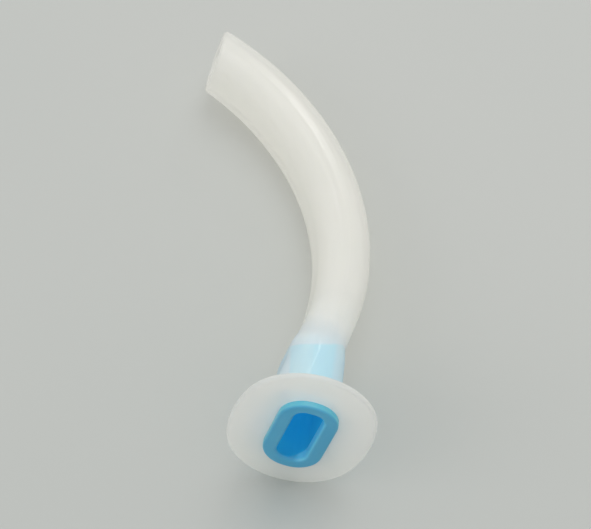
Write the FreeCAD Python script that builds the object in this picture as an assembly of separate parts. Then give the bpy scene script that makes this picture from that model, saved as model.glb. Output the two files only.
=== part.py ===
import FreeCAD, Part
import math
import os

# Oropharyngeal airway, large adult size, lying on its side as it comes to rest.
# All sizes are in millimetres. The airway is built in its own plane of curvature:
# X points to the convex side, Y from the lips into the mouth, Z is lateral.
# The outer face of the flange lies in Y = 0. At the end both pieces are laid down together.

V = FreeCAD.Vector
os.makedirs("parts", exist_ok=True)

# Flange outside the lips: an oval plate with a rounded rim
flangeAcross = 33.5
flangeLateral = 42.4
flangeSideRadius = 36.0
flangeThick = 1.7
flangeEdge = 0.75
flangeRoot = 1.0

# Curved tube, from the neck behind the bite part to the tip
neckDistance = 31.4
leanAngle = 11.5
leanOffset = -4.15
biteThick = 12.8
bendRadius = 66.6
bendAngle = 80.0
tubeThickNeck = 11.6
tubeThickMiddle = 14.2
tubeThickTip = 13.9
tubeLateral = 16.3
tubeCorner = 6.2
tubeWall = 1.6

# Tip: cut obliquely, with the convex side longer, and rounded so that it slides
tipBevel = 20.0
tipOuterRound = 1.0
tipInnerRound = 0.4

# Bite block: the coloured insert that is pressed into the buccal end
insertDepth = 22.0
plugAcross = 11.2
plugAcrossEnd = 10.5
plugLateral = 21.6
plugLateralEnd = 17.6
plugCorner = 5.0
pressFit = 0.05
rimAcross = 14.2
rimLateral = 25.1
rimHeight = 1.7
rimEdge = 0.6

# Slot through the bite block, the mouth of the air passage
slotAcross = 7.2
slotLateral = 18.7
slotAcrossEnd = 6.2
slotLateralEnd = 13.6
slotCorner = 2.9
slotEdge = 0.9

# Bite part of the tube: a sleeve of its own wall thickness round the insert. From just
# before the insert's inner end it sinks into the leaning tube, with soft corners between.
sleeveWall = 1.35
sleeveCorner = 6.0
shoulderStart = 1.0
shoulderLength = 6.0
shoulderSink = 2.0
softness = 0.5

# No corner is rounder than this share of the half thickness of its outline
cornerShare = 0.94

# Outlines set along the bite part, the straight passage and the bend
biteSteps = 9
passageSteps = 3
bendSteps = 10

# An edge nearer to a plane than this lies in it
inPlane = 1e-3

# The way it lies: spots at which the bend's height is taken, the steepest slope that is
# tried and the last step of the search, in radians, and fineness of the extents
restSteps = 60
steepest = 1.0
closeEnough = 1e-4
extentFineness = 0.1


def smooth(share):
    share = min(max(share, 0.0), 1.0)
    return share * share * (3 - 2 * share)


def between(first, last, share):
    return first + (last - first) * share


def softLarger(one, other):
    return (one + other + math.hypot(one - other, softness)) / 2


# A closed outline of four sides and four round corners in a plane that stands on the
# XY plane. The plane's own axis turns from X by the angle, towards the lips.
def roundedOutline(origin, angle, concave, convex, lateral, corner):
    across = V(math.cos(angle), -math.sin(angle), 0)
    halfLateral = lateral / 2
    corner = min(corner, cornerShare * (concave + convex) / 2, cornerShare * halfLateral)

    def at(u, w):
        return origin + across * u + V(0, 0, w)

    corners = [
        (convex - corner, halfLateral - corner, 0),
        (corner - concave, halfLateral - corner, 90),
        (corner - concave, corner - halfLateral, 180),
        (convex - corner, corner - halfLateral, 270),
    ]
    arcs = []
    for u, w, first in corners:
        points = []
        for turn in (first, first + 45, first + 90):
            t = math.radians(turn)
            points.append(at(u + corner * math.cos(t), w + corner * math.sin(t)))
        arcs.append(points)
    edges = []
    for k in range(4):
        start, middle, end = arcs[k]
        edges.append(Part.Arc(start, middle, end).toShape())
        edges.append(Part.makeLine(end, arcs[(k + 1) % 4][0]))
    return Part.Wire(edges)


# Edges that lie in a plane, those of its outer outline first
def edgesInPlane(shape, point, normal):
    found = []
    for edge in shape.Edges:
        spots = edge.discretize(5)
        if max(abs((spot - point).dot(normal)) for spot in spots) < inPlane:
            found.append(edge)
    wires = [Part.Wire(group) for group in Part.sortEdges(found)]
    wires.sort(key=lambda wire: -wire.BoundBox.DiagonalLength)
    return [wire.Edges for wire in wires]


# Radius of the flange's two ends, which meet its long side arcs without a corner
def endRadius():
    half = flangeAcross / 2
    wide = flangeLateral / 2
    return (half ** 2 + wide ** 2 - 2 * half * flangeSideRadius) / (2 * (wide - flangeSideRadius))


# The oval of the flange: two end arcs and two side arcs
def flangeOval():
    half = flangeAcross / 2
    offset = flangeLateral / 2 - endRadius()
    slope = math.atan2(offset, flangeSideRadius - half)
    x = endRadius() * math.cos(slope)
    z = offset + endRadius() * math.sin(slope)
    spots = [(x, z), (0, flangeLateral / 2), (-x, z), (-half, 0),
             (-x, -z), (0, -flangeLateral / 2), (x, -z), (half, 0), (x, z)]
    points = [V(x, 0, z) for x, z in spots]
    return Part.Wire([Part.Arc(*points[k:k + 3]).toShape() for k in (0, 2, 4, 6)])


def makeFlange():
    plate = Part.Face(flangeOval()).extrude(V(0, flangeThick, 0))
    rims = edgesInPlane(plate, V(0, 0, 0), V(0, 1, 0))[0]
    rims += edgesInPlane(plate, V(0, flangeThick, 0), V(0, 1, 0))[0]
    return plate.makeFillet(min(flangeEdge, cornerShare * flangeThick / 2), rims)


# Centre line: straight from the flange to the neck with a lean to the convex side,
# then one arc that turns back to the concave side
lean = math.radians(leanAngle)
bend = math.radians(bendAngle)
straightLength = neckDistance / math.cos(lean)
arcLength = bendRadius * bend


def centreAt(length):
    if length <= straightLength:
        return V(leanOffset + length * math.sin(lean), length * math.cos(lean), 0), lean
    angle = lean - (length - straightLength) / bendRadius
    neck = V(leanOffset + straightLength * math.sin(lean), neckDistance, 0)
    centre = neck - V(math.cos(lean), -math.sin(lean), 0) * bendRadius
    return centre + V(math.cos(angle), -math.sin(angle), 0) * bendRadius, angle


# Half thickness of the tube at a share of its arc, by a parabola through three sizes
def tubeHalf(share):
    share = max(share, 0.0)
    neck = tubeThickNeck * (1 - share) * (1 - 2 * share)
    middle = tubeThickMiddle * 4 * share * (1 - share)
    tip = tubeThickTip * share * (2 * share - 1)
    return (neck + middle + tip) / 2


# Outline of the curved tube, inset by a wall for the air passage
def tubeOutline(length, inset):
    origin, angle = centreAt(length)
    share = max(0.0, (length - straightLength) / arcLength)
    half = tubeHalf(share) - inset
    return roundedOutline(origin, angle, half, half, tubeLateral - 2 * inset, tubeCorner - inset)


# Outline of the bite part: where the leaning tube doesn't cover the insert, the sleeve
# does. Its plane turns from the flange's own to square across the tube at the neck.
def biteOutline(length):
    origin, angle = centreAt(length)
    share = length / straightLength
    turned = lean * smooth(share)
    half = between(biteThick, tubeThickNeck, smooth(share)) / 2 / math.cos(lean - turned)
    fade = smooth((origin.y - insertDepth + shoulderStart) / shoulderLength)
    along = min(origin.y / insertDepth, 1.0)
    sleeveHalf = between(plugAcross, plugAcrossEnd, along) / 2 + pressFit + sleeveWall
    sleeveConcave = between(sleeveHalf + origin.x, half - shoulderSink, fade)
    sleeveConvex = between(sleeveHalf - origin.x, half - shoulderSink, fade)
    sleeveLateral = between(plugLateral, plugLateralEnd, along) + 2 * (pressFit + sleeveWall)
    concave = softLarger(half, sleeveConcave)
    convex = softLarger(half, sleeveConvex)
    lateral = between(sleeveLateral, tubeLateral, fade)
    corner = between(sleeveCorner, tubeCorner, smooth(share))
    return roundedOutline(origin, turned, concave, convex, lateral, corner)


# Lengths along the arc at which outlines are set, a little past the tip for the cut
def arcLengths(past):
    return [straightLength + (arcLength + past) * k / bendSteps for k in range(1, bendSteps + 1)]


tipAllowance = tubeThickTip * math.tan(math.radians(tipBevel)) + tipOuterRound


def makeOuter():
    first = flangeThick / 2 / math.cos(lean)
    outlines = []
    for k in range(biteSteps):
        outlines.append(biteOutline(between(first, straightLength, k / (biteSteps - 1))))
    for length in arcLengths(tipAllowance):
        outlines.append(tubeOutline(length, 0))
    return Part.makeLoft(outlines, True, False)


def makePassage():
    start = insertDepth / 2 / math.cos(lean)
    outlines = []
    for k in range(passageSteps):
        outlines.append(tubeOutline(between(start, straightLength, k / passageSteps), tubeWall))
    for length in [straightLength] + arcLengths(2 * tipAllowance):
        outlines.append(tubeOutline(length, tubeWall))
    return Part.makeLoft(outlines, True, False)


# A tapered plug on the flange's axis from y = first to y = last, with sizes given at
# the outer face of the flange and at the insert's inner end
def taperedPlug(first, last, across, acrossEnd, lateral, lateralEnd, corner, extra):
    outlines = []
    for y in (first, last):
        share = y / insertDepth
        half = between(across, acrossEnd, share) / 2 + extra
        wide = between(lateral, lateralEnd, share) + 2 * extra
        outlines.append(roundedOutline(V(0, y, 0), 0, half, half, wide, corner + extra))
    return Part.makeLoft(outlines, True, True)


# The oblique end plane of the tip: a point in it and its direction
def tipPlane():
    origin, angle = centreAt(straightLength + arcLength)
    turned = angle - math.radians(tipBevel)
    return origin, V(math.sin(turned), math.cos(turned), 0)


def beyondTip():
    origin, outwards = tipPlane()
    size = 4 * tubeLateral
    block = Part.makeBox(size, size, size, V(-size / 2, -size / 2, 0))
    onPlane = FreeCAD.Placement(origin, FreeCAD.Rotation(V(0, 0, 1), outwards))
    block.Placement = onPlane.multiply(block.Placement)
    return block


def makeBody():
    body = makeOuter().fuse(makeFlange()).removeSplitter()
    rim, root = edgesInPlane(body, V(0, flangeThick, 0), V(0, 1, 0))
    body = body.makeFillet(flangeRoot, root)
    pocket = taperedPlug(-flangeThick, insertDepth + pressFit, plugAcross, plugAcrossEnd,
                         plugLateral, plugLateralEnd, plugCorner, pressFit)
    body = body.cut(makePassage()).cut(pocket).cut(beyondTip())
    outer, inner = edgesInPlane(body, *tipPlane())
    body = body.makeFillet(tipOuterRound, outer)
    outer, inner = edgesInPlane(body, *tipPlane())
    return body.makeFillet(tipInnerRound, inner)


def makeBiteBlock():
    half = rimAcross / 2
    stadium = roundedOutline(V(0, -rimHeight, 0), 0, half, half, rimLateral, half)
    rim = Part.Face(stadium).extrude(V(0, rimHeight, 0))
    plug = taperedPlug(0, insertDepth, plugAcross, plugAcrossEnd,
                       plugLateral, plugLateralEnd, plugCorner, 0)
    slot = taperedPlug(-2 * rimHeight, 2 * insertDepth, slotAcross, slotAcrossEnd,
                       slotLateral, slotLateralEnd, slotCorner, 0)
    block = rim.fuse(plug).removeSplitter().cut(slot)
    outer, mouth = edgesInPlane(block, V(0, -rimHeight, 0), V(0, 1, 0))
    block = block.makeFillet(rimEdge, outer)
    outer, mouth = edgesInPlane(block, V(0, -rimHeight, 0), V(0, 1, 0))
    return block.makeFillet(slotEdge, mouth)


# On a flat surface the airway lies on the rim of its flange and on its bend, with the
# convex side down. The direction is the angle, from X, in which the surface falls away
# below it, and the slope is what brings both down to the surface together.
def upwards(direction, slope):
    fall = math.sin(slope)
    return V(-fall * math.cos(direction), -fall * math.sin(direction), math.cos(slope))


# Lowest height of the flange along the direction up: of its oval, drawn in by the
# rounding of the rim, and then of that rounding
def lowestOfRim(up):
    sideways = math.hypot(up.x, up.z)
    offset = flangeLateral / 2 - endRadius()
    sideOffset = flangeSideRadius - flangeAcross / 2
    if offset * abs(up.x) >= sideOffset * abs(up.z):
        reach = flangeSideRadius * sideways - sideOffset * abs(up.x)
    else:
        reach = endRadius() * sideways + offset * abs(up.z)
    flat = flangeThick / 2 - flangeEdge
    return up.y * flangeThick / 2 - abs(up.y) * flat - (reach - flangeEdge * sideways) - flangeEdge


# Lowest height of the bend, from the flat sides and round corners of its outlines
def lowestOfBend(up):
    heights = []
    for k in range(restSteps + 1):
        length = straightLength + arcLength * k / restSteps
        origin, angle = centreAt(length)
        half = tubeHalf(k / restSteps)
        corner = min(tubeCorner, cornerShare * half)
        acrossUp = abs(up.x * math.cos(angle) - up.y * math.sin(angle))
        lateralUp = abs(up.z)
        reach = acrossUp * (half - corner) + lateralUp * (tubeLateral / 2 - corner)
        heights.append(origin.dot(up) - reach - corner * math.hypot(acrossUp, lateralUp))
    return min(heights)


def slopeAt(direction):
    flat = 0.0
    steep = steepest
    while steep - flat > closeEnough:
        slope = (flat + steep) / 2
        up = upwards(direction, slope)
        if lowestOfRim(up) < lowestOfBend(up):
            flat = slope
        else:
            steep = slope
    return slope


# Of all such ways to lie, it rests where its centre of mass is lowest
def restingUp(shapes):
    volume = sum(shape.Volume for shape in shapes)
    centre = V(0, 0, 0)
    for shape in shapes:
        centre += shape.Solids[0].CenterOfMass * (shape.Volume / volume)

    def heightOfCentre(direction):
        up = upwards(direction, slopeAt(direction))
        return centre.dot(up) - lowestOfRim(up)

    first = 0.0
    last = math.radians(90)
    golden = (math.sqrt(5) - 1) / 2
    while last - first > closeEnough:
        low = last - golden * (last - first)
        high = first + golden * (last - first)
        if heightOfCentre(low) < heightOfCentre(high):
            last = high
        else:
            first = low
    return upwards(low, slopeAt(low))


# Turn that direction to +Z, keep the airway along +Y, and put the origin under the
# middle of its extents
def layDown(shapes):
    up = restingUp(shapes)
    along = V(0, 1, 0) - up * up.y
    along.normalize()
    across = along.cross(up)
    turn = FreeCAD.Matrix(across.x, across.y, across.z, 0,
                          along.x, along.y, along.z, 0,
                          up.x, up.y, up.z, 0,
                          0, 0, 0, 1)
    laid = [shape.transformed(turn) for shape in shapes]
    points = []
    for shape in laid:
        points += shape.tessellate(extentFineness)[0]
    lows = [min(point[k] for point in points) for k in range(2)]
    highs = [max(point[k] for point in points) for k in range(2)]
    shift = V(-(lows[0] + highs[0]) / 2, -(lows[1] + highs[1]) / 2, -lowestOfRim(up))
    for shape in laid:
        shape.translate(shift)
    return laid, turn, shift


body, biteBlock = makeBody(), makeBiteBlock()
(body, biteBlock), turn, shift = layDown([body, biteBlock])
for name, shape in (("airway_body", body), ("bite_block", biteBlock)):
    print(name, "solids", len(shape.Solids), "valid", shape.isValid(), "cm3", round(shape.Volume / 1000, 3))
    shape.exportStep("parts/" + name + ".step")
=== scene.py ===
import math

import bmesh
import bpy
from mathutils import Matrix, Vector


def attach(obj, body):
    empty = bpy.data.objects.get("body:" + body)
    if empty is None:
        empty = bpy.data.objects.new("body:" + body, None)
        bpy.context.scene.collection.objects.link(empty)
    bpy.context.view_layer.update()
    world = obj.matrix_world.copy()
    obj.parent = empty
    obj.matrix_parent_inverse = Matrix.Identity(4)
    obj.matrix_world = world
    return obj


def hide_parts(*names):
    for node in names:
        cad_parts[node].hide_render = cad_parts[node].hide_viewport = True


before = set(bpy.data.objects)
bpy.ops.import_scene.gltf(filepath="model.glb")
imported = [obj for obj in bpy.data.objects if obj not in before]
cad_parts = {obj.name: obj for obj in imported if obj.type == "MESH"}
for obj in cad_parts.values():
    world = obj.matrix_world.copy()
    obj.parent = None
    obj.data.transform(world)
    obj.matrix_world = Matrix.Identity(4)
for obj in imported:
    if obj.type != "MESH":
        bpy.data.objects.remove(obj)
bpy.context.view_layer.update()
scene = bpy.context.scene
print("frame loaded")


# One output socket, so that maths on it can be written as a Python expression
class Wire:
    def __init__(self, tree, socket):
        self.tree = tree
        self.socket = socket

    def maths(self, operation, *others, swap=False):
        values = [self, *others]
        if swap:
            values.reverse()
        return self.tree.node("ShaderNodeMath", {"operation": operation}, values)

    def __add__(self, other):
        return self.maths("ADD", other)

    def __radd__(self, other):
        return self.maths("ADD", other)

    def __sub__(self, other):
        return self.maths("SUBTRACT", other)

    def __rsub__(self, other):
        return self.maths("SUBTRACT", other, swap=True)

    def __mul__(self, other):
        return self.maths("MULTIPLY", other)

    def __rmul__(self, other):
        return self.maths("MULTIPLY", other)

    def __truediv__(self, other):
        return self.maths("DIVIDE", other)

    def clamped(self):
        return self.maths("MAXIMUM", 0.0).maths("MINIMUM", 1.0)

    def sine(self):
        return self.maths("SINE")

    def cosine(self):
        return self.maths("COSINE")

    def other(self, name):  # another output of the same node
        return Wire(self.tree, self.socket.node.outputs[name])

    def ramp(self, low, high):  # 0 below low, 1 above high, smooth between them
        settings = {"interpolation_type": "SMOOTHSTEP"}
        return self.tree.node("ShaderNodeMapRange", settings, {0: self, 1: low, 2: high})


class Tree:
    def __init__(self, nodeTree):
        self.nodes = nodeTree.nodes
        self.links = nodeTree.links
        self.nodes.clear()

    def node(self, kind, settings=None, values=(), output=0):
        made = self.nodes.new(kind)
        for name, value in (settings or {}).items():
            setattr(made, name, value)
        pairs = values.items() if isinstance(values, dict) else enumerate(values)
        for key, value in pairs:
            socket = made.inputs[key]
            if isinstance(value, Wire):
                self.links.new(value.socket, socket)
            else:
                socket.default_value = value
        return Wire(self, made.outputs[output]) if len(made.outputs) else None

    def mix(self, share, first, second):  # of two colours
        settings = {"data_type": "RGBA"}
        return self.node("ShaderNodeMix", settings, {0: share, 6: first, 7: second}, output=2)

    # Soft clouds, or a fine grain at a large scale, from 0 to 1
    def noise(self, place, scale, detail=2.0):
        return self.node("ShaderNodeTexNoise", {}, {"Vector": place, "Scale": scale, "Detail": detail})

    def mixShader(self, share, first, second):
        return self.node("ShaderNodeMixShader", {}, {0: share, 1: first, 2: second})

    def glow(self, colour):  # light that comes through from the other side
        return self.node("ShaderNodeBsdfTranslucent", {}, {"Color": colour})


def srgb(red, green, blue):
    def linear(value):
        share = value / 255
        return share / 12.92 if share <= 0.04045 else ((share + 0.055) / 1.055) ** 2.4

    return (linear(red), linear(green), linear(blue), 1.0)


def newMaterial(name):
    material = bpy.data.materials.new(name)
    material.use_nodes = True
    return material, Tree(material.node_tree)


# How it lies: the direction, in its own axes, that points up, and its place on the table
lying = {"up": (-0.26636462, -0.17799224, 0.94729544), "moved": (10.85945, -55.08795, 20.85449)}


def layingMatrix():
    up = Vector(lying["up"])
    along = (Vector((0, 1, 0)) - up * up.y).normalized()
    turn = Matrix((along.cross(up), along, up)).to_4x4()
    return Matrix.Scale(0.001, 4) @ Matrix.Translation(lying["moved"]) @ turn


# A place on the surface in the airway's own millimetres
def ownPlace(tree):
    place = tree.node("ShaderNodeTexCoord", output=3)
    back = layingMatrix().inverted()
    return [dot(tree, place, row.xyz) + row.w for row in back[:3]]


def dot(tree, first, second):
    return tree.node("ShaderNodeVectorMath", {"operation": "DOT_PRODUCT"}, [first, second], output=1)


def smooth(share):
    share = min(max(share, 0.0), 1.0)
    return share * share * (3 - 2 * share)


def between(first, last, share):
    return first + (last - first) * share


# The part of the insert that is pressed into the sleeve: its size tapers over the span
plugLook = {
    "depth": 22.0,
    "span": (0.0, 22.0),
    "across": (11.2, 10.5),
    "lateral": (21.6, 17.6),
    "corner": 5.0,
    "fit": 0.05,
}


# How far a place is outside the plug
def plugDistance(x, y, z):
    share = y / plugLook["depth"]
    corner = plugLook["corner"]
    overAcross = x.maths("ABSOLUTE") - (between(*plugLook["across"], share) / 2 - corner)
    overLateral = z.maths("ABSOLUTE") - (between(*plugLook["lateral"], share) / 2 - corner)
    overAcross = overAcross.maths("MAXIMUM", 0.0)
    overLateral = overLateral.maths("MAXIMUM", 0.0)
    return (overAcross * overAcross + overLateral * overLateral).maths("SQRT") - corner


bodyLook = {
    "white": srgb(250, 250, 246),
    "cool": srgb(246, 248, 244),
    "cloudScale": 60.0,
    "cloudRange": (0.35, 0.65),
    "paintedGlow": srgb(228, 251, 252),  # painted glow: the blue light that the insert scatters into the wall round it, painted into the wall's colour
    "paintedGlowStart": (1.5, 3.0),
    "paintedGlowEnd": (22.0, 22.8),
    "paintedGlowSlant": 0.36,  # of its end, which is deeper on the convex side
    "paintedGlowBow": 0.035,
    "paintedGlowLast": (21.6, 22.6),
    "paintedGlowReach": (3.2, 3.8),  # from the insert
    "concaveSide": (-7.3, -6.6),  # where the painted glow begins
    "paleSide": (-2.8, -1.8),
    "paleShare": 0.25,  # of the painted glow that is left out there
    "convexSide": (2.2, 3.8),
    "convexShare": 0.5,  # of the painted glow that is left out there
    "opening": 0.3,  # share that is clear, here of the tube
    "flangeOpening": 0.2,
    "sleeveOpening": 0.1,
    "sleeveStart": (2.0, 4.0),
    "sleeveEnd": (28.0, 38.0),
    "shadowOpening": 0.82,
    "passing": (1.0, 0.985, 0.982, 1.0),  # colour of the light that goes straight through
    "throughShare": 0.55,
    "roughness": 0.13,
    "roughnessChange": 0.08,
    "gloss": 0.28,
    "grainScale": 1800.0,
    "grainDetail": 3.0,
    "grainStrength": 0.03,
    "grainHeight": 0.0002,
    "scatter": 0.6,
    "scatterDistance": 0.003,
    "scatterReach": (1.0, 1.0, 0.95),
    "bending": 1.5,  # refractive index
}


# How much of the insert's painted glow a place has
def paintedGlowShare(x, y, z):
    bowed = y - x * bodyLook["paintedGlowSlant"] + z * z * bodyLook["paintedGlowBow"]
    pale = (1 - x.ramp(*bodyLook["paleSide"])) * bodyLook["paleShare"]
    convex = x.ramp(*bodyLook["convexSide"]) * bodyLook["convexShare"]
    along = y.ramp(*bodyLook["paintedGlowStart"]) * (1 - y.ramp(*bodyLook["paintedGlowLast"]))
    along = along * (1 - bowed.ramp(*bodyLook["paintedGlowEnd"]))
    across = x.ramp(*bodyLook["concaveSide"]) * (1 - pale) * (1 - convex)
    return along * across * (1 - plugDistance(x, y, z).ramp(*bodyLook["paintedGlowReach"]))


# A fine bump for the normal of a moulded surface
def mouldedNormal(tree, place, look):
    grain = tree.noise(place, look["grainScale"], look["grainDetail"])
    values = {"Strength": look["grainStrength"], "Distance": look["grainHeight"], "Height": grain}
    return tree.node("ShaderNodeBump", {}, values)


def milkyPlastic():
    material, tree = newMaterial("milkyPolyethylene")
    place = tree.node("ShaderNodeTexCoord", output=3)
    clouds = tree.noise(place, bodyLook["cloudScale"])
    milk = tree.mix(clouds.ramp(*bodyLook["cloudRange"]), bodyLook["white"], bodyLook["cool"])
    x, y, z = ownPlace(tree)
    # Painted glow: where the insert lies behind the wall, its blue light is painted into the wall's
    # colour
    paintedGlowHere = paintedGlowShare(x, y, z)
    change = bodyLook["roughnessChange"]
    shader = tree.node("ShaderNodeBsdfPrincipled", {"subsurface_method": "RANDOM_WALK"}, {
        "Base Color": tree.mix(paintedGlowHere, milk, bodyLook["paintedGlow"]),
        "Roughness": clouds * change + (bodyLook["roughness"] - change / 2),
        "Subsurface Weight": bodyLook["scatter"],
        "Subsurface Radius": bodyLook["scatterReach"],
        "Subsurface Scale": bodyLook["scatterDistance"],
        "IOR": bodyLook["bending"],
        "Specular IOR Level": bodyLook["gloss"],
        "Normal": mouldedNormal(tree, place, bodyLook),
    })
    # The painted glow also colours the light that comes through the wall
    through = tree.mixShader(paintedGlowHere, tree.glow(bodyLook["white"]), tree.glow(bodyLook["paintedGlow"]))
    lit = tree.mixShader(bodyLook["throughShare"], shader, through)
    clear = tree.node("ShaderNodeBsdfTransparent", {}, {"Color": bodyLook["passing"]})

    # The clear share changes from flange to sleeve to tube, and is larger for shadows
    flange = bodyLook["flangeOpening"]
    sleeve = bodyLook["sleeveOpening"]
    opening = (flange + y.ramp(*bodyLook["sleeveStart"]) * (sleeve - flange)
               + y.ramp(*bodyLook["sleeveEnd"]) * (bodyLook["opening"] - sleeve))
    shadowRay = tree.node("ShaderNodeLightPath", output=1)
    opening = opening + shadowRay * (bodyLook["shadowOpening"] - opening)
    tree.node("ShaderNodeOutputMaterial", {}, {"Surface": tree.mixShader(opening, lit, clear)})
    return material


blueLook = {
    "rim": srgb(97, 188, 222),
    "rimDark": srgb(89, 183, 219),
    "cloudScale": 90.0,
    "cloudRange": (0.35, 0.65),
    # Painted light: a lighter colour on the rim's side band, where it catches the light
    "paintedRimSideLight": srgb(112, 206, 226),
    "paintedSideDepth": (-1.6, -1.1),
    "paintedSideDistance": (0.3, 1.2),
    "slot": srgb(76, 210, 255),  # painted light: a brighter blue inside the slot stands in for the light that has passed through more of the plastic
    "slotDepth": (-1.3, -0.5),
    "slotSlant": 0.6,  # the painted slot light begins deeper on the convex side, whose wall catches the light
    "lip": srgb(125, 220, 248),  # painted highlight: a lighter stripe on the slot's mouth on the convex side, where it catches the light
    "paintedLipAside": (1.0, 2.8),
    "paintedLipDepth": (-1.7, -1.3),
    # Painted glow: the plug hidden in the pocket is near white, so that it shows bright through the
    # sleeve
    "plug": srgb(222, 243, 250),
    "plugDepth": (-0.1, 0.1),
    "skin": (-1.2, -0.3),  # from the slot's wall to the plug's own outside
    "throughShare": (0.15, 0.62),  # of the rim, then of the slot and the plug
    "filter": srgb(130, 240, 255),  # of the light that passes into the shadow
    "shadowPass": 0.6,
    "roughness": (0.35, 0.12),  # of the rim, then of the slot and the plug
    "roughnessChange": 0.1,
    "grainScale": 2500.0,
    "grainDetail": 3.0,
    "grainStrength": 0.05,
    "grainHeight": 0.0002,
    "scatter": 0.3,
    "scatterDistance": 0.0008,
    "scatterReach": (0.15, 0.7, 1.0),
    "bending": 1.5,  # refractive index
}


def bluePlastic():
    material, tree = newMaterial("bluePlastic")
    place = tree.node("ShaderNodeTexCoord", output=3)
    clouds = tree.noise(place, blueLook["cloudScale"])
    x, y, z = ownPlace(tree)
    distance = plugDistance(x, y, z)
    outside = distance.ramp(*blueLook["skin"])
    slotDepth = y - x.maths("MAXIMUM", 0.0) * blueLook["slotSlant"]
    # Painted light inside the slot, and a painted glow on the plug's outside
    inSlot = slotDepth.ramp(*blueLook["slotDepth"]) * (1 - outside)
    onPlug = y.ramp(*blueLook["plugDepth"]) * outside
    within = inSlot + onPlug
    # Painted light on the rim's side band, which catches the light
    side = y.ramp(*blueLook["paintedSideDepth"]) * distance.ramp(*blueLook["paintedSideDistance"])
    # Painted highlight on the slot's mouth on the convex side
    lip = y.ramp(*blueLook["paintedLipDepth"]) * x.ramp(*blueLook["paintedLipAside"]) * (1 - outside)
    rim = tree.mix(clouds.ramp(*blueLook["cloudRange"]), blueLook["rim"], blueLook["rimDark"])
    rim = tree.mix(lip, tree.mix(side, rim, blueLook["paintedRimSideLight"]), blueLook["lip"])
    colour = tree.mix(onPlug, tree.mix(inSlot, rim, blueLook["slot"]), blueLook["plug"])
    change = blueLook["roughnessChange"]
    rough = between(*blueLook["roughness"], within) + (clouds * change - change / 2)
    shader = tree.node("ShaderNodeBsdfPrincipled", {"subsurface_method": "RANDOM_WALK"}, {
        "Base Color": colour,
        "Roughness": rough,
        "Subsurface Weight": blueLook["scatter"],
        "Subsurface Radius": blueLook["scatterReach"],
        "Subsurface Scale": blueLook["scatterDistance"],
        "IOR": blueLook["bending"],
        "Normal": mouldedNormal(tree, place, blueLook),
    })
    # The painted colours also colour the light that comes through
    glow = tree.mixShader(inSlot, tree.glow(blueLook["rim"]), tree.glow(blueLook["slot"]))
    glow = tree.mixShader(onPlug, glow, tree.glow(blueLook["plug"]))
    both = tree.mixShader(between(*blueLook["throughShare"], within), shader, glow)
    filtered = tree.node("ShaderNodeBsdfTransparent", {}, {"Color": blueLook["filter"]})
    shadowRay = tree.node("ShaderNodeLightPath", output=1)
    whole = tree.mixShader(shadowRay * blueLook["shadowPass"], both, filtered)
    tree.node("ShaderNodeOutputMaterial", {}, {"Surface": whole})
    return material


milky = milkyPlastic()
blue = bluePlastic()
print("materials made")

# The airway is made in millimetres in its own plane of curvature: X to the convex side,
# Y from the lips into the mouth, Z lateral, with the flange's outer face in Y = 0
neckLook = {
    "distance": 31.4,  # of the neck behind the flange
    "lean": 11.5,  # degrees, to the convex side
    "offset": -4.15,  # of the centre line at the flange
}

lean = math.radians(neckLook["lean"])
straight = neckLook["distance"] / math.cos(lean)

# Every outline has round corners, and its ring of points starts in the middle of the convex side
outline = {
    "quarterSteps": 24,
    "sideShare": 0.25,  # of a quarter's steps that go to each straight side
    "cornerShare": 0.94,  # the largest corner, as a share of the half size
    "edgeSteps": 6,
    "mergeWithin": 0.01,
    "sharpAngle": 40.0,
}


# One ring of points in a plane whose axis turns from X, towards the lips, by the angle
def ring(middle, angle, concave, convex, lateral, corner):
    half = (concave + convex) / 2
    wide = lateral / 2
    corner = min(corner, outline["cornerShare"] * min(half, wide))
    across = Vector((math.cos(angle), -math.sin(angle), 0))
    centre = Vector(middle) + across * (convex - concave) / 2
    side = outline["sideShare"]
    points = []
    for k in range(4 * outline["quarterSteps"]):
        quarter = k / outline["quarterSteps"]
        share = 1 - abs(quarter % 2 - 1)
        turn = math.radians(90) * min(max((share - side) / (1 - 2 * side), 0), 1)
        u = (half - corner) * min((1 - share) / side, 1) + corner * math.cos(turn)
        w = (wide - corner) * min(share / side, 1) + corner * math.sin(turn)
        if 1 < quarter < 3:
            u = -u
        if quarter > 2:
            w = -w
        points.append(centre + across * u + Vector((0, 0, w)))
    return points


def ringBetween(first, last, share):
    return [one.lerp(other, share) for one, other in zip(first, last)]


# Quarter turns of a rounded edge: sine and cosine at each step
def roundSteps():
    steps = outline["edgeSteps"]
    turns = [math.radians(90) * k / steps for k in range(steps + 1)]
    return [(math.sin(turn), math.cos(turn)) for turn in turns]


# A plug on the flange's axis that tapers: a ring at depth y, a little outside it by extra
def plugRing(look, y, extra=0.0):
    def at(depth):
        share = depth / look["depth"]
        half = between(*look["across"], share) / 2 + extra
        wide = between(*look["lateral"], share) + 2 * extra
        return ring((0, depth, 0), 0, half, half, wide, look["corner"] + extra)

    first, last = look["span"]
    return ringBetween(at(first), at(last), (y - first) / (last - first))


# Faces between neighbouring rings, and from the last ring to the first where it is closed
def skin(name, rings, closed):
    around = len(rings[0])
    vertices = [point for points in rings for point in points]
    faces = []
    for row in range(len(rings) if closed else len(rings) - 1):
        here = row * around
        there = (row + 1) % len(rings) * around
        for k in range(around):
            after = (k + 1) % around
            faces.append((here + k, here + after, there + after, there + k))
    mesh = bpy.data.meshes.new(name)
    mesh.from_pydata(vertices, [], faces)
    made = bpy.data.objects.new(name, mesh)
    scene.collection.objects.link(made)
    return made


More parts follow.
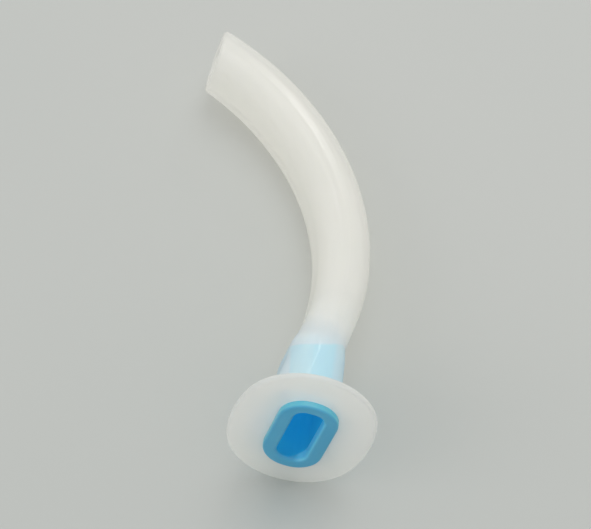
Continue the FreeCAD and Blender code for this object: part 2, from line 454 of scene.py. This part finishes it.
# The bent tube behind the neck: outside to the tip, over the rounded end and back inside
tubeLook = {
    "bendRadius": 66.6,
    "bendAngle": 80.0,
    "neckThickness": 11.6,
    "middleThickness": 14.2,
    "tipThickness": 13.9,
    "lateral": 16.3,
    "corner": 6.2,
    "wall": 1.6,
    "tipBevel": 20.0,  # degrees, with the convex side longer
    "outerRound": 1.0,
    "innerRound": 0.4,
    "leastEndFace": 0.05,
    "slideStart": 0.5,  # share of the length from which the rings turn to the oblique cut
    "slideEnd": 0.95,
    "mergeWithin": 0.001,
    "stepsAlong": 48,
    "stepsRound": 6,
}


def bentTubeTree():
    group = bpy.data.node_groups.new("bentTube", "GeometryNodeTree")
    tree = Tree(group)
    for name, value in tubeLook.items():
        kind = "NodeSocketInt" if isinstance(value, int) else "NodeSocketFloat"
        group.interface.new_socket(name, in_out="INPUT", socket_type=kind)
    group.interface.new_socket("finish", in_out="INPUT", socket_type="NodeSocketMaterial")
    group.interface.new_socket("tube", in_out="OUTPUT", socket_type="NodeSocketGeometry")

    def given(name):
        return tree.node("NodeGroupInput", output=name)

    radius = given("bendRadius")
    wall = given("wall")
    stepsAlong = given("stepsAlong")
    stepsRound = given("stepsRound")
    arc = radius * given("bendAngle").maths("RADIANS")

    # A grid whose X counts the rings and whose Y goes round each of them
    rings = stepsAlong * 2 + stepsRound * 2 + 2
    around = 4 * outline["quarterSteps"] + 1
    grid = tree.node("GeometryNodeMeshGrid", {}, {
        "Size X": 1.0, "Size Y": 1.0, "Vertices X": rings, "Vertices Y": around})
    spot = tree.node("ShaderNodeSeparateXYZ", {}, [tree.node("GeometryNodeInputPosition")])
    ringNumber = (spot + 0.5) * (rings - 1)
    quarter = (spot.other("Y") + 0.5) * 4

    # How far both roundings reach from the oblique cut's corners: further where the corner is sharper
    bevel = given("tipBevel").maths("RADIANS")
    towards = (quarter * math.radians(90)).cosine()
    tilt = bevel * towards
    outer = given("outerRound") / ((math.radians(90) - tilt) / 2).maths("TANGENT")
    inner = given("innerRound") / ((math.radians(90) + tilt) / 2).maths("TANGENT")
    outerInset = outer * tilt.cosine()
    innerInset = (inner * tilt.cosine()).maths("MINIMUM", wall - outerInset - given("leastEndFace"))

    # How far each ring is along the five stretches of the wall's section
    outside = (ringNumber / stepsAlong).clamped()
    outerTurn = ((ringNumber - stepsAlong) / stepsRound).clamped() * math.radians(90)
    endFace = (ringNumber - stepsAlong - stepsRound).clamped()
    innerTurn = ((ringNumber - stepsAlong - stepsRound - 1) / stepsRound).clamped() * math.radians(90)
    inside = ((ringNumber - stepsAlong - stepsRound * 2 - 1) / stepsAlong).clamped()
    along = ((arc - outer) * outside + outer * outerTurn.sine()
             - inner * (1 - innerTurn.cosine()) - (arc - inner) * inside)
    inset = (outerInset * (1 - outerTurn.cosine()) + (wall - outerInset - innerInset) * endFace
             + innerInset * innerTurn.sine())

    # Half thickness by a parabola through three sizes, then the round-cornered outline
    share = along / arc
    half = (given("neckThickness") * (1 - share) * (1 - share * 2)
            + given("middleThickness") * 4 * share * (1 - share)
            + given("tipThickness") * share * (share * 2 - 1)) / 2 - inset
    wide = given("lateral") / 2 - inset
    corner = (given("corner") - inset).maths("MINIMUM", half * outline["cornerShare"])
    corner = corner.maths("MINIMUM", wide * outline["cornerShare"])
    fold = quarter.maths("PINGPONG", 1.0)
    side = outline["sideShare"]
    turn = ((fold - side) / (1 - 2 * side)).clamped() * math.radians(90)
    u = (half - corner) * ((1 - fold) / side).clamped() + corner * turn.cosine()
    w = (wide - corner) * (fold / side).clamped() + corner * turn.sine()
    u = u * towards.maths("SIGN")
    w = w * (quarter * math.radians(90)).sine().maths("SIGN")

    # Near the tip the points slide along the tube until the rings lie in the oblique cut
    slide = bevel - (radius * bevel.sine() / (radius + u)).maths("ARCSINE")
    turned = share * arc / radius + slide * share.ramp(given("slideStart"), given("slideEnd"))
    place = tree.node("ShaderNodeCombineXYZ", {}, [
        (radius + u) * turned.cosine(), (radius + u) * turned.sine(), w])
    bent = tree.node("GeometryNodeSetPosition", {}, {"Geometry": grid, "Position": place})
    merged = {"Geometry": bent, "Distance": given("mergeWithin")}
    closed = tree.node("GeometryNodeMergeByDistance", {}, merged)
    realized = tree.node("GeometryNodeRealizeInstances", {}, {"Geometry": closed})
    coated = {"Geometry": realized, "Material": given("finish")}
    finished = tree.node("GeometryNodeSetMaterial", {}, coated)
    tree.node("NodeGroupOutput", {}, [finished])
    return group


# A plain mesh object from a Geometry Nodes tree
def grown(name, group, look, finish):
    carrier = bpy.data.objects.new(name + "Carrier", bpy.data.meshes.new(name + "Carrier"))
    scene.collection.objects.link(carrier)
    modifier = carrier.modifiers.new(name, "NODES")
    modifier.node_group = group
    for item in group.interface.items_tree:
        if item.in_out == "INPUT":
            modifier[item.identifier] = finish if item.name == "finish" else look[item.name]
    bpy.context.view_layer.update()
    evaluated = carrier.evaluated_get(bpy.context.evaluated_depsgraph_get())
    mesh = bpy.data.meshes.new_from_object(evaluated)
    carrier.modifiers.clear()
    bpy.data.objects.remove(carrier)
    mesh.name = name
    made = bpy.data.objects.new(name, mesh)
    scene.collection.objects.link(made)
    return made


def makeBentTube():
    made = grown("bentTube", bentTubeTree(), tubeLook, milky)
    neck = Vector((neckLook["offset"] + straight * math.sin(lean), neckLook["distance"], 0))
    pivot = neck - Vector((math.cos(lean), -math.sin(lean), 0)) * tubeLook["bendRadius"]
    made.data.transform(Matrix.Translation(pivot) @ Matrix.Rotation(-lean, 4, "Z"))
    return made


flangeLook = {
    "across": 33.5,
    "lateral": 42.4,
    "sideRadius": 36.0,
    "thickness": 1.7,
    "edge": 0.75,
    "root": 1.0,  # hollow rounding between the flange and the sleeve
}

sleeveLook = {
    "thickness": 12.8,
    "wall": 1.35,
    "corner": 6.0,
    "shoulderStart": 1.0,
    "shoulderLength": 6.0,
    "shoulderSink": 2.0,
    "softness": 0.5,
    "sections": 8,  # the outlines between which its shape runs smoothly
    "steps": 32,
}

slotLook = {
    "depth": 22.0,
    "span": (-3.4, 44.0),
    "across": (7.2, 6.2),
    "lateral": (18.7, 13.6),
    "corner": 2.9,
    "edge": 0.9,
}

rimLook = {"across": 14.2, "lateral": 25.1, "height": 1.7, "edge": 0.6}


# A ring on the flange's oval of two side arcs and two end arcs, drawn in by the inset
def flangeRing(y, inset):
    half = flangeLook["across"] / 2
    wide = flangeLook["lateral"] / 2
    sideRadius = flangeLook["sideRadius"]
    endRadius = (half ** 2 + wide ** 2 - 2 * half * sideRadius) / (2 * (wide - sideRadius))
    offset = wide - endRadius
    slope = math.atan2(offset, sideRadius - half)
    endRadius -= inset
    meeting = (offset + endRadius * math.sin(slope)) / (endRadius * math.cos(slope))
    points = []
    for spot in ring((0, 0, 0), 0, half, half, 2 * wide, wide):
        x, z = spot.xz.normalized()
        if abs(z) > meeting * abs(x):
            near = abs(z) * offset
            reach = near + math.sqrt(near ** 2 - offset ** 2 + endRadius ** 2)
        else:
            back = sideRadius - half
            near = -abs(x) * back
            reach = near + math.sqrt(near ** 2 - back ** 2 + (sideRadius - inset) ** 2)
        points.append(Vector((x * reach, y, z * reach)))
    return points


def softLarger(one, other):
    return (one + other + math.hypot(one - other, sleeveLook["softness"])) / 2


# The sleeve round the insert, where it stands out of the leaning tube, and its shoulder
def sleeveRing(length, extra=0.0):
    x = neckLook["offset"] + length * math.sin(lean)
    y = length * math.cos(lean)
    share = smooth(length / straight)
    turned = lean * share
    thickness = between(sleeveLook["thickness"], tubeLook["neckThickness"], share)
    half = thickness / 2 / math.cos(lean - turned)
    fade = smooth((y - plugLook["depth"] + sleeveLook["shoulderStart"]) / sleeveLook["shoulderLength"])
    along = min(y / plugLook["depth"], 1.0)
    over = plugLook["fit"] + sleeveLook["wall"]
    sleeve = between(*plugLook["across"], along) / 2 + over
    sunk = half - sleeveLook["shoulderSink"]
    concave = softLarger(half, between(sleeve + x, sunk, fade)) + extra
    convex = softLarger(half, between(sleeve - x, sunk, fade)) + extra
    lateral = between(*plugLook["lateral"], along) + 2 * over
    lateral = between(lateral, tubeLook["lateral"], fade) + 2 * extra
    corner = between(sleeveLook["corner"], tubeLook["corner"], share) + extra
    return ring((x, y, 0), turned, concave, convex, lateral, corner)


# From the hollow rounding to the neck, by a smooth curve through the set outlines
def sleeveRings(begin):
    sections = sleeveLook["sections"]
    first = flangeLook["thickness"] / 2 / math.cos(lean)
    spacing = (straight - first) / sections
    marks = [sleeveRing(first + spacing * k) for k in range(sections + 1)]
    onwards = Vector((math.sin(lean), math.cos(lean), 0)) * spacing
    marks.insert(0, ringBetween(marks[1], marks[0], 2))
    marks.append([point + onwards for point in marks[-1]])
    rings = []
    for step in range(1, sleeveLook["steps"] + 1):
        place = (between(begin, straight, step / sleeveLook["steps"]) - first) / spacing
        k = min(int(place), sections - 1)
        s = place - k
        shares = ((2 * s - 1 - s * s) * s / 2, 1 - 2.5 * s * s + 1.5 * s ** 3,
                  (1 + 4 * s - 3 * s * s) * s / 2, (s - 1) * s * s / 2)
        rings.append([sum((point * share for point, share in zip(four, shares)), Vector())
                      for four in zip(*marks[k:k + 4])])
    return rings


# How many rings each flat or tapering stretch has
stretches = {"passage": 5, "pocket": 8, "face": 4, "slot": 10, "plug": 8}


# Flange, sleeve and pocket: from the neck inside the passage to the front, and back outside
def makeMouthpiece():
    thick = flangeLook["thickness"]
    edge = flangeLook["edge"]
    root = flangeLook["root"]
    floor = plugLook["depth"] + plugLook["fit"]
    outer = tubeLook["neckThickness"] / 2
    inner = outer - tubeLook["wall"]
    neck = (neckLook["offset"] + straight * math.sin(lean), neckLook["distance"], 0)
    passage = ring(neck, lean, inner, inner, tubeLook["lateral"] - 2 * tubeLook["wall"],
                   tubeLook["corner"] - tubeLook["wall"])
    down = Vector((math.sin(lean), math.cos(lean), 0)) / math.cos(lean)
    passageEnd = [point - down * (point.y - floor) for point in passage]
    steps = stretches["passage"]
    rings = [ringBetween(passage, passageEnd, k / steps) for k in range(steps + 1)]
    steps = stretches["pocket"]
    rings += [plugRing(plugLook, floor * (1 - k / steps), plugLook["fit"]) for k in range(steps + 1)]
    mouth = rings[-1]
    steps = stretches["face"]
    rings += [ringBetween(mouth, flangeRing(0, edge), k / steps) for k in range(1, steps)]
    rings += [flangeRing(edge * (1 - c), edge * (1 - s)) for s, c in roundSteps()]
    rings += [flangeRing(thick - edge * (1 - s), edge * (1 - c)) for s, c in roundSteps()]

    def rootRing(y, extra):
        points = sleeveRing(y / math.cos(lean), extra)
        return [Vector((point.x, y, point.z)) for point in points]

    back = rings[-1]
    foot = rootRing(thick, root)
    rings += [ringBetween(back, foot, k / steps) for k in range(1, steps)]
    rings += [rootRing(thick + root * (1 - c), root * (1 - s)) for s, c in roundSteps()]
    rings += sleeveRings((thick + root) / math.cos(lean))[:-1]
    rings += [ring(neck, lean, outer, outer, tubeLook["lateral"], tubeLook["corner"])]
    return skin("mouthpiece", rings, False)


# The insert: slot, rounded mouth, rim, and the plug that is pressed into the pocket
def makeBiteBlock():
    depth = plugLook["depth"]
    front = -rimLook["height"]
    edge = rimLook["edge"]
    lip = slotLook["edge"]

    def rimRing(y, inset):
        half = rimLook["across"] / 2 - inset
        corner = rimLook["across"] / 2 * outline["cornerShare"] - inset
        return ring((0, y, 0), 0, half, half, rimLook["lateral"] - 2 * inset, corner)

    steps = stretches["slot"]
    rings = [plugRing(slotLook, between(depth, front + lip, k / steps)) for k in range(steps)]
    rings += [plugRing(slotLook, front + lip * (1 - s), lip * (1 - c)) for s, c in roundSteps()]
    rings += [rimRing(front + edge * (1 - c), edge * (1 - s)) for s, c in roundSteps()]
    rings += [rimRing(0, 0)]
    steps = stretches["plug"]
    rings += [plugRing(plugLook, depth * k / steps) for k in range(steps + 1)]
    return skin("biteBlockSkin", rings, True)


# One closed skin with smooth faces and sharp corners, facing outwards and laid on the table
def finishPiece(parts, name, node, finish):
    shell = bmesh.new()
    for part in parts:
        shell.from_mesh(part.data)
        bpy.data.objects.remove(part)
    bmesh.ops.remove_doubles(shell, verts=shell.verts, dist=outline["mergeWithin"])
    bmesh.ops.transform(shell, matrix=layingMatrix(), verts=shell.verts)
    bmesh.ops.recalc_face_normals(shell, faces=shell.faces)
    mesh = bpy.data.meshes.new(name)
    shell.to_mesh(mesh)
    shell.free()
    mesh.shade_smooth()
    mesh.set_sharp_from_angle(angle=math.radians(outline["sharpAngle"]))
    mesh.materials.append(finish)
    piece = bpy.data.objects.new(name, mesh)
    scene.collection.objects.link(piece)
    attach(piece, "root")
    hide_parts(node)


bodyParts = [makeMouthpiece(), makeBentTube()]
finishPiece(bodyParts, "airwayBody", "airway_body", milky)
finishPiece([makeBiteBlock()], "biteBlock", "bite_block", blue)
print("airway made")

floorLook = {
    "size": 3.0,
    "grey": srgb(197, 199, 195),
    "greyDark": srgb(193, 196, 192),
    "cloudScale": 2.5,
    "cloudRange": (0.35, 0.65),
    "roughness": 0.6,
    "gloss": 0.2,
}


def makeFloor():
    mesh = bpy.data.meshes.new("tableTop")
    half = floorLook["size"] / 2
    corners = [(-half, -half, 0), (half, -half, 0), (half, half, 0), (-half, half, 0)]
    mesh.from_pydata(corners, [], [(0, 1, 2, 3)])
    floor = bpy.data.objects.new("tableTop", mesh)
    scene.collection.objects.link(floor)
    material, tree = newMaterial("paleSurface")
    place = tree.node("ShaderNodeTexCoord", output=3)
    clouds = tree.noise(place, floorLook["cloudScale"]).ramp(*floorLook["cloudRange"])
    shader = tree.node("ShaderNodeBsdfPrincipled", {}, {
        "Base Color": tree.mix(clouds, floorLook["grey"], floorLook["greyDark"]),
        "Roughness": floorLook["roughness"],
        "Specular IOR Level": floorLook["gloss"],
    })
    tree.node("ShaderNodeOutputMaterial", {}, {"Surface": shader})
    mesh.materials.append(material)


makeFloor()

lightLook = {
    "key": {"at": (0.3, 0.79, 0.53), "size": 0.07, "power": 0.26},
    "ceiling": {"at": (0.15, 0.45, 1.1), "size": 0.8, "power": 5.2},
    "window": {"at": (-0.78, -0.29, 0.56), "size": 0.5, "power": 1.15},
    "aim": (0, 0, 0.01),
    "sky": 0.6,
}


def aimed(at, aim):
    return (Vector(aim) - Vector(at)).to_track_quat("-Z", "Y").to_matrix().to_4x4()


for name in ("key", "ceiling", "window"):
    look = lightLook[name]
    lamp = bpy.data.lights.new(name + "Light", "AREA")
    lamp.size = look["size"]
    lamp.energy = look["power"]
    made = bpy.data.objects.new(name + "Light", lamp)
    made.matrix_world = Matrix.Translation(look["at"]) @ aimed(look["at"], lightLook["aim"])
    scene.collection.objects.link(made)

world = bpy.data.worlds.new("room")
scene.world = world
world.use_nodes = True
sky = Tree(world.node_tree)
background = sky.node("ShaderNodeBackground", {}, {"Color": (1, 1, 1, 1), "Strength": lightLook["sky"]})
sky.node("ShaderNodeOutputWorld", {}, {"Surface": background})
scene.view_settings.view_transform = "Standard"

cameraLook = {
    "at": (0.03783, -0.26024, 0.46107),
    "looks": (-0.0676, 0.4915, -0.8683),
    "right": (0.9906, 0.1368, 0.0003),
    "focalPixels": 2100.0,
    "imageWidth": 591.0,
    "sensorWidth": 36.0,
    "farEnd": 10.0,
}


def makeCamera():
    data = bpy.data.cameras.new("camera")
    data.sensor_width = cameraLook["sensorWidth"]
    data.lens = cameraLook["focalPixels"] / cameraLook["imageWidth"] * cameraLook["sensorWidth"]
    data.clip_end = cameraLook["farEnd"]
    looks = Vector(cameraLook["looks"]).normalized()
    right = Vector(cameraLook["right"])
    right = (right - looks * right.dot(looks)).normalized()
    up = right.cross(looks)
    turn = Matrix((right, up, -looks)).transposed().to_4x4()
    camera = bpy.data.objects.new("camera", data)
    camera.matrix_world = Matrix.Translation(cameraLook["at"]) @ turn
    scene.collection.objects.link(camera)
    scene.camera = camera


makeCamera()
print("stage, light and camera made")
